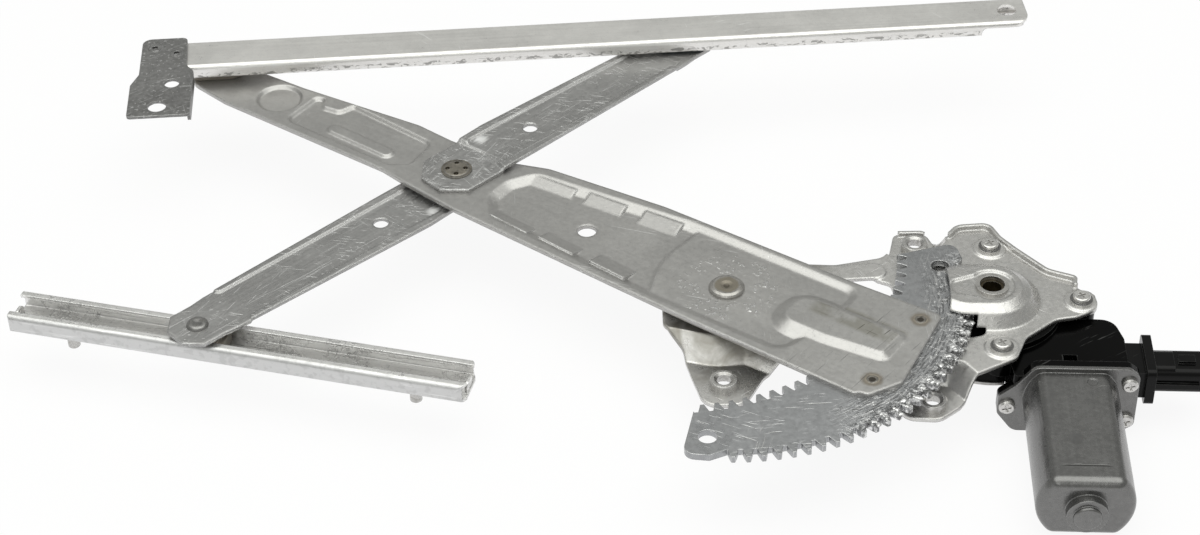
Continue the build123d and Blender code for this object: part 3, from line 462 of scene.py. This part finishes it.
def sector_finish():
    """Cool grey blank with dense scratches, and a wet film of grease along its right-hand teeth."""
    skin = zinc("sector_steel", 0.44, 0.33, 0.3, 0.9, 0.1, marks=0.6, sheen_and_wear=0.9, warmth=-0.02, soot=0.2)
    reach, bearing = skin.polar(main_pivot)
    right = bearing.band(*grease_film, 7)
    band = reach.step(pitch_radius - 26 * mm, pitch_radius - 12 * mm) * right
    smear = skin.noise(1.0, 3, 0.55, skin.node("ShaderNodeCombineXYZ", {}, {
        0: reach * 900.0, 1: bearing * 0.25}))
    skin.layer(band * smear.step(0.52, 0.60) * 0.75, shade(0.2, -0.01), 0.16, height=1.5)
    skin.layer(band * smear.step(0.46, 0.36) * 0.8, shade(0.72), 0.14, height=-1.0)
    flecks = skin.noise(520, 3, 0.55, warp=0.5)
    skin.layer(band * flecks.step(0.58, 0.66) * 0.9, shade(0.85), 0.1, height=2.0)
    clots = skin.noise(430, 3, 0.5, warp=0.8)
    toothed = reach.step(pitch_radius - 8 * mm, pitch_radius - 4 * mm) * right
    skin.layer(toothed * clots.step(0.50, 0.58) * 0.8, shade(0.14), 0.10, height=4.0)
    skin.layer(toothed * clots.step(0.48, 0.38) * 0.9, shade(0.9), 0.10, height=-2.0)
    return skin.close()


def rail_finish():
    """Drawn channel with small regular rubs along its front wall, and a painted highlight in patches over
    that wall.
    """
    skin = zinc("rail_zinc", 0.86, 0.74, 0.34, 0.0, 0.6, marks=0.15, sheen_and_wear=0.6, warmth=0.02, soot=0.15)
    front = skin.facing(1).step(-0.6, -0.9)
    crown = top("lift_rail")
    line = skin.part(skin.place, 2).band(crown - 8.5 * mm, crown - 4.5 * mm, 0.6 * mm)
    rub = skin.noise(1.0, 3, 0.6, skin.turned(0.0, (210, 420, 420)), warp=0.8)
    skin.layer(front * line * rub.step(0.52, 0.58) * 0.65, shade(0.16, 0.03), 0.5)
    # Painted highlight: the wall facing the front is lightened in patches.
    skin.layer(front * rub.step(0.42, 0.36) * 0.5, shade(0.85), 0.25)
    return skin.close()


def guide_finish():
    """Drawn channel, rubbed bright and streaked with old grease along its inside. Its near outer wall is
    darkened as painted shade.
    """
    skin = zinc("guide_zinc", 0.88, 0.72, 0.30, guide_turn, 0.35, marks=0.3, sheen_and_wear=0.9, soot=0.2)
    across = skin.local(guide_pivot, guide_turn)[1]
    inside = across.step(-guide_inner, -guide_inner + 0.6 * mm)
    # Painted shade: the near wall outside the channel is darkened and mottled.
    skin.layer(1.0 - inside, shade(0.64), 0.4)
    skin.layer((1.0 - inside) * skin.noise(260, 3).step(0.5, 0.62) * 0.5, shade(0.5), 0.45)
    streaks = skin.noise(1.0, 4, 0.6, skin.turned(guide_turn, (26, 620, 620)), warp=0.5)
    skin.layer(inside * streaks.step(0.60, 0.68) * 0.4, shade(0.13, 0.03), 0.22, height=0.8)
    skin.layer(streaks.step(0.40, 0.32) * 0.5, shade(0.92), 0.2)
    worn = skin.noise(330, 4, 0.6, warp=0.8) * skin.noise(40, 2).step(0.42, 0.58)
    skin.layer(inside * worn.step(0.50, 0.56) * 0.4, shade(0.34), 0.2, height=1.2)
    return skin.close()


def bracket_finish():
    """Dark, coarse zinc with pale flecks."""
    skin = zinc("bracket_zinc", 0.30, 0.17, 0.44, 1.5, 0.15, marks=0.8, sheen_and_wear=1.0)
    flecks = skin.noise(520, 3, 0.6).step(0.60, 0.68)
    skin.layer(flecks * 0.7, shade(0.62), 0.3, height=0.8)
    return skin.close()


def rivet_finish():
    """Head of the main pivot: bright shoulder, brown rubbed crown and a dark middle."""
    skin = machined("rivet_steel", 0.46, 0.30, 0.32, warmth=0.04, rings_at=main_pivot)
    out = skin.near(main_pivot) + (skin.noise(420, 3) - 0.5) * (1.6 * mm)
    skin.layer(out.step(6.4 * mm, 5.2 * mm) * 0.8, tint(0.20, 0.175, 0.13), 0.45, 0.6)
    skin.layer(out.step(2.0 * mm, 1.2 * mm) * 0.7, tint(0.05, 0.042, 0.03), 0.4, 0.5)
    return skin.close()


def screw_finish():
    """Bright heads, with painted shade on the flats below their top: the recess floor and the flat round
    the head.
    """
    skin = machined("screw_steel", 0.85, 0.55, 0.22, grime=0.35)
    head_top = top("motor_mount_screws")
    # Painted shade on upward flats 0.9 to 3 mm below the head top.
    recess_shade = skin.part(skin.place, 2).band(head_top - 3.0 * mm, head_top - 0.9 * mm, 0.2 * mm)
    skin.layer(recess_shade * skin.facing(2).step(0.7, 0.95) * 0.85, shade(0.08), 0.5)
    return skin.close()


def can_finish():
    """Drawn can: dark satin with streaks along its length, a dark line along the bend at its end and a
    round rub on its flat."""
    skin = zinc("can_steel", 0.215, 0.16, 0.27, can_turn, 0.35, marks=0.15, sheen_and_wear=0.8, soot=0.3)
    along, across = skin.local(can_end, can_turn)
    bend = along.band(-12.5 * mm, -11.8 * mm, 0.3 * mm) * across.size().step(12 * mm, 9 * mm)
    skin.layer(bend * skin.noise(150, 2).step(0.4, 0.5) * 0.9, shade(0.015), 0.5, height=-1.5)
    rub = skin.near(can_end + Vector((0, 30 * mm, 0)), 4 * mm) + skin.noise(300, 2) * 0.3
    skin.layer(rub.step(1.15, 0.95) * 0.35 * skin.facing(2).step(0.9, 0.98), shade(0.10), 0.4)
    return skin.close()


def stake_finish():
    """Brown face of the crossing pin, black in its four stake marks."""
    skin = machined("stake_face", 0.30, 0.17, 0.4, warmth=0.12, grime=0.7)
    for bearing in crater_bearings:
        spot = cross_pivot + Vector((math.cos(bearing), math.sin(bearing), 0)) * crater_ring
        skin.layer(skin.near(spot).step(1.5 * mm, 1.0 * mm), tint(0.02, 0.016, 0.01), 0.5)
    return skin.close()


def nugget_finish():
    """Burnt steel, black in the middle of each weld."""
    skin = machined("nugget_steel", 0.30, 0.16, 0.4, warmth=0.08, grime=0.7)
    for spot in weld_spots:
        skin.layer(skin.near(spot).step(2.0 * mm, 1.2 * mm), tint(0.025, 0.02, 0.014), 0.5)
    return skin.close()


def grease_finish():
    """Wet grey grease."""
    skin = Skin("grease", 0.2 * mm)
    cloud = skin.noise(700, 3, 0.6, warp=0.6)
    skin.colour = skin.mix(cloud.step(0.4, 0.6), shade(0.55), shade(0.85))
    skin.rough, skin.metal = cloud * 0.16 + 0.04, 0.7
    skin.height = skin.height + cloud * 1.5
    return skin.close()


# Finishes put on the nodes

def dress(finish, *names):
    """Give the finish to CAD nodes or new pieces."""
    for name in names:
        piece = nodes.get(name) or bpy.data.objects[name]
        piece.data.materials.clear()
        piece.data.materials.append(finish.material)


dress(arm_finish(), "lift_arm")
dress(base_finish(), "base_plate")
dress(equalizer_finish(), "equalizer_upper", "equalizer_lower")
dress(sector_finish(), "sector_gear")
dress(rail_finish(), "lift_rail")
dress(guide_finish(), "guide_rail")
dress(bracket_finish(), "glass_bracket")
dress(can_finish(), "motor_can")
dress(rivet_finish(), "main_pivot_pin")
dress(machined("stake_steel", 0.26, 0.13, 0.42, warmth=0.12, grime=0.8).close(), "x_pivot_pin")
dress(machined("pin_steel", 0.36, 0.24, 0.36).close(), "lift_slider_pin", "upper_slider_pin",
      "guide_slider_pin")
dress(machined("nut_steel", 0.62, 0.42, 0.28).close(), "base_weld_nuts", "guide_rail_studs")
dress(screw_finish(), "motor_mount_screws")
dress(machined("can_screw_steel", 0.75, 0.48, 0.24).close(), "can_screws")
dress(machined("bush_steel", 0.62, 0.42, 0.24, warmth=0.03).close(), "pinion_bush")
dress(machined("bearing_bronze", 0.40, 0.26, 0.3, warmth=0.14).close(), "rear_bearing")
dress(machined("sintered_steel", 0.10, 0.05, 0.3, warmth=0.3).close(), "output_pinion")
dress(machined("shaft_steel", 0.4, 0.3, 0.3).close(), "armature_shaft")
dress(machined("lamination_steel", 0.3, 0.22, 0.45).close(), "armature_core")
dress(machined("cover_aluminium", 0.5, 0.38, 0.4).close(), "gear_housing_cover")
dress(machined("terminal_tin", 0.6, 0.5, 0.3, warmth=0.06).close(), "connector_pins")
dress(moulded("housing_plastic", shade(0.0015), 0.14, scuff=0.5, gloss=0.08), "gear_housing")
dress(moulded("plug_plastic", shade(0.003), 0.16, scuff=0.5, gloss=0.16), "connector_housing")
dress(moulded("shoe_plastic", tint(0.22, 0.2, 0.17), 0.42), "lift_slider", "guide_slider")
dress(moulded("upper_shoe_plastic", tint(0.15, 0.2, 0.23), 0.42), "upper_slider")
dress(moulded("collar_plastic", tint(0.36, 0.34, 0.30), 0.45), "guide_collar", "pivot_washer")
dress(moulded("wheel_plastic", tint(0.62, 0.58, 0.46), 0.4), "worm_wheel")
dress(moulded("magnet_ferrite", tint(0.05, 0.05, 0.052), 0.6), "can_magnets", "brush_holder")
dress(wound("winding_copper", tint(0.5, 0.2, 0.08), "Z"), "armature_windings")
dress(wound("commutator_copper", tint(0.6, 0.3, 0.16), "X"), "commutator")


# Grease, weld nuggets and staked pin faces

def round_turn(steps):
    return np.arange(steps) * 2 * math.pi / steps


def blob_faces(rings, around):
    """Faces of a closed form: rings of points from the bottom up, then its lowest and highest point."""
    ring, turn = np.meshgrid(np.arange(rings - 1), np.arange(around), indexing="ij")
    here, after = ring * around + turn, ring * around + (turn + 1) % around
    sides = np.stack([here, after, after + around, here + around], -1).reshape(-1, 4)
    first = np.arange(around)
    second = (first + 1) % around
    last = (rings - 1) * around
    lowest, highest = np.full(around, rings * around), np.full(around, rings * around + 1)
    ends = np.concatenate([np.stack([second, first, lowest], -1),
                           np.stack([first + last, second + last, highest], -1)])
    return sides, ends


def add_blobs(name, body, finish, points, low_points, high_points):
    """One piece of closed forms: points are (form, ring, turn, xyz), each with a low and a high end."""
    count, rings, around = points.shape[:3]
    sides, ends = blob_faces(rings, around)
    places = np.concatenate([points.reshape(count, -1, 3), low_points[:, None], high_points[:, None]], 1)
    shift = (np.arange(count) * places.shape[1])[:, None, None]
    faces = (sides + shift).reshape(-1, 4).tolist() + (ends + shift).reshape(-1, 3).tolist()
    data = bpy.data.meshes.new(name)
    data.from_pydata(places.reshape(-1, 3).tolist(), [], faces)
    data.polygons.foreach_set("use_smooth", np.ones(len(data.polygons), bool))
    piece = bpy.data.objects.new(name, data)
    bpy.context.scene.collection.objects.link(piece)
    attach(piece, body)
    dress(finish, name)


def tooth_bearing():
    """Bearing of one tooth's middle, from the points of the blank that reach out furthest."""
    blank = nodes["sector_gear"].data
    corners = np.empty(len(blank.vertices) * 3)
    blank.vertices.foreach_get("co", corners)
    x, y = (corners.reshape(-1, 3)[:, :2] - np.array(main_pivot)[:2]).T
    reach = np.hypot(x, y)
    tips = np.arctan2(y, x)[reach > reach.max() - 0.4 * mm]
    return np.angle(np.exp(1j * tips * sector_teeth).mean()) / sector_teeth


def sector_grease():
    """Lumps of grease on the teeth. Each is a low dome whose radius swells and shrinks three and five
    times round, as a + b sin(3t) + c sin(5t), with a height that falls off as the sine of its latitude,
    and it sinks into the steel below its widest ring."""
    lumps_per_tooth, around, rings = 3, 14, 7
    chance = np.random.default_rng(11)
    start = tooth_bearing()
    first, last = ((bearing - start) / tooth_pitch for bearing in greased_teeth)
    teeth = start + tooth_pitch * np.arange(math.ceil(first), last)
    count = teeth.size * lumps_per_tooth
    bearing = np.repeat(teeth, lumps_per_tooth) + chance.normal(0, tooth_pitch * 0.10, count)
    reach = pitch_radius + chance.uniform(-4.6 * mm, 1.2 * mm, count)
    size = chance.uniform(0.7 * mm, 1.5 * mm, count)
    tall = size * chance.uniform(0.35, 0.6, count)
    phase = chance.uniform(0, 2 * math.pi, (count, 2, 1))
    centre = np.stack([main_pivot.x + reach * np.cos(bearing), main_pivot.y + reach * np.sin(bearing),
                       np.full(count, top("sector_gear"))], -1)
    turn = round_turn(around)
    latitude = np.radians(np.linspace(-60, 78, rings))
    swell = 1 + 0.2 * np.sin(3 * turn + phase[:, 0]) + 0.1 * np.sin(5 * turn + phase[:, 1])
    sunk = 0.3
    wide = size[:, None, None] * np.cos(latitude)[:, None] * swell[:, None]
    rise = tall[:, None] * np.sin(latitude) * np.where(latitude > 0, 1, sunk)
    points = np.stack([wide * np.cos(turn), wide * np.sin(turn),
                       np.broadcast_to(rise[:, :, None], wide.shape)], -1) + centre[:, None, None]
    up = np.array([0, 0, 1.0]) * tall[:, None]
    add_blobs("sector_grease", "lift_arm", grease_finish(), points, centre - up * sunk, centre + up)


def weld_nuggets():
    """Spot welds: round caps whose height is a bell curve about a ring, so that they sink again towards
    the middle, with a rim that wobbles three and seven times round."""
    radius, crest, sunk, middle_height, foot = 3.4 * mm, 0.28 * mm, 0.1 * mm, -0.09 * mm, -0.4 * mm
    share = np.array([1.0, 0.94, 0.86, 0.76, 0.66, 0.56, 0.46, 0.36, 0.26, 0.16, 0.08])
    turn = round_turn(32)
    out = share[:, None] * radius * (1 + 0.05 * np.sin(3 * turn + 1) + 0.03 * np.sin(7 * turn))
    rise = crest * np.exp(-((share - 0.62) / 0.2) ** 2)[:, None] - sunk + out * 0
    form = np.stack([out * np.cos(turn), out * np.sin(turn), rise], -1)
    spots = np.array([(spot.x, spot.y, arm_flat) for spot in weld_spots])
    low, high = (spots + np.array([0, 0, z]) for z in (foot, middle_height))
    add_blobs("weld_nuggets", "lift_arm", nugget_finish(), form[None] + spots[:, None, None], low, high)


def crater_depth(x, y, craters):
    """Depth of the stake marks: each is a bell-shaped hollow inside a low bell-shaped lip."""
    hollow_depth, hollow_width = 0.4 * mm, 0.6 * mm
    lip_height, lip_radius, lip_width = 0.16 * mm, 1.1 * mm, 0.4 * mm
    away = np.hypot(x[..., None] - crater_ring * np.cos(craters),
                    y[..., None] - crater_ring * np.sin(craters))
    hollow = hollow_depth * np.exp(-(away / hollow_width) ** 2)
    lip = lip_height * np.exp(-((away - lip_radius) / lip_width) ** 2)
    return (hollow - lip).sum(-1)


def pin_cap(name, node, finish, radius, rise, dish=0.0, craters=()):
    """Staked end of a pin: a round cap whose edge falls off as the sixth power of the radius. A dish
    sinks in the middle as a bell curve, and craters are the bearings of stake marks."""
    rings, around, foot = 40, 96, -0.2 * mm
    share = np.sin(np.linspace(0.5, 0.02, rings) * math.pi)
    turn = round_turn(around)
    x, y = share[:, None] * np.cos(turn) * radius, share[:, None] * np.sin(turn) * radius
    dome = rise * (1 - share ** 6) - dish * np.exp(-(share / 0.4) ** 2)
    height = dome[:, None] - crater_depth(x, y, craters)
    spot = np.array([*middle(node)[:2], top(node)])
    low, high = ((spot + np.array([0, 0, z]))[None] for z in (foot, rise - dish))
    add_blobs(name, "equalizer", finish, np.stack([x, y, height], -1)[None] + spot, low, high)


sector_grease()
weld_nuggets()
pin_cap("cross_pin_cap", "x_pivot_pin", stake_finish(), 6.6 * mm, 0.35 * mm, craters=crater_bearings)
guide_cap_steel = machined("cap_steel", 0.34, 0.18, 0.34, grime=0.6, rings_at=guide_pivot).close()
pin_cap("guide_pin_cap", "guide_slider_pin", guide_cap_steel, 5.1 * mm, 1.0 * mm, dish=0.4 * mm)


# Camera, light and floor

camera_place = (-0.1086, -0.8845, 0.7794)
camera_swing, camera_dip, camera_roll = math.radians(-3.33), math.radians(38.48), math.radians(-1.245)
lens, film_width = 75.3, 36.0
light_tint = (0.99, 1.0, 0.965)
# Height above the horizon, up to 1 at the zenith, and how bright the sky is there
sky_stops = ((0.0, 0.55), (0.28, 0.40), (0.5, 0.37), (0.68, 0.49), (0.86, 1.0), (1.0, 1.0))
floor_half, floor_drop = 6.0, 0.4 * mm


def add_camera():
    data = bpy.data.cameras.new("photo_camera")
    data.lens, data.sensor_width = lens, film_width
    data.clip_start, data.clip_end = 0.05, 20
    camera = bpy.data.objects.new("photo_camera", data)
    bpy.context.scene.collection.objects.link(camera)
    camera.matrix_world = (Matrix.Translation(camera_place)
                           @ Matrix.Rotation(camera_swing, 4, "Z")
                           @ Matrix.Rotation(math.pi / 2 - camera_dip, 4, "X")
                           @ Matrix.Rotation(camera_roll, 4, "Z"))
    bpy.context.scene.camera = camera


def add_lamp(name, place, target, size, power):
    data = bpy.data.lights.new(name, "AREA")
    data.shape, data.size, data.size_y = "RECTANGLE", *size
    data.energy, data.color = power, light_tint
    lamp = bpy.data.objects.new(name, data)
    bpy.context.scene.collection.objects.link(lamp)
    way = Vector(target) - Vector(place)
    lamp.matrix_world = Matrix.Translation(place) @ way.to_track_quat("-Z", "Y").to_matrix().to_4x4()


def floor_finish():
    """White paper that takes shadows. Where the camera sees it, it also glows to the white of the
    background."""
    finish = Finish("floor_paper")
    finish.set(Base_Color=finish.mix(finish.noise(700, 2), shade(0.90), shade(0.92)), Roughness=0.9,
               Specular_IOR_Level=0.1)
    camera, glossy, through = (finish.node("ShaderNodeLightPath", output=f"Is {ray} Ray")
                               for ray in ("Camera", "Glossy", "Transmission"))
    seen = camera.most(glossy).most(through)
    glow = finish.node("ShaderNodeEmission")
    lit = finish.node("ShaderNodeMixShader", {}, {0: seen * 0.9, 1: finish.surface, 2: glow})
    finish.plug(finish.end, lit)
    return finish


def add_floor():
    half, z = floor_half, packed_box[0].z - floor_drop
    data = bpy.data.meshes.new("floor")
    data.from_pydata([(-half, -half, z), (half, -half, z), (half, half, z), (-half, half, z)], [],
                     [(0, 1, 2, 3)])
    data.materials.append(floor_finish().material)
    floor = bpy.data.objects.new("floor", data)
    bpy.context.scene.collection.objects.link(floor)


def add_world():
    """Pale above, darker near the horizon, so that metal has something to reflect."""
    world = bpy.data.worlds.new("studio")
    bpy.context.scene.world = world
    sky = Nodes(world, "ShaderNodeOutputWorld")
    height = sky.part(sky.node("ShaderNodeTexCoord", output="Generated"), 2)
    stops = [(place, tint(*(light * part for part in light_tint))) for place, light in sky_stops]
    ramp = sky.node("ShaderNodeValToRGB", {"stops": stops}, {0: height})
    sky.plug(sky.end, sky.node("ShaderNodeBackground", {}, {0: ramp, 1: 1.0}))


bpy.context.scene.view_settings.view_transform = "Standard"
add_camera()
add_floor()
add_world()
add_lamp("overhead_panel", (-0.05, 0.0, 1.6), (-0.05, 0, 0), (2.4, 1.6), 14.5)
add_lamp("front_softbox", (-0.45, -1.4, 1.1), (-0.1, 0.05, 0), (1.2, 0.7), 2.6)
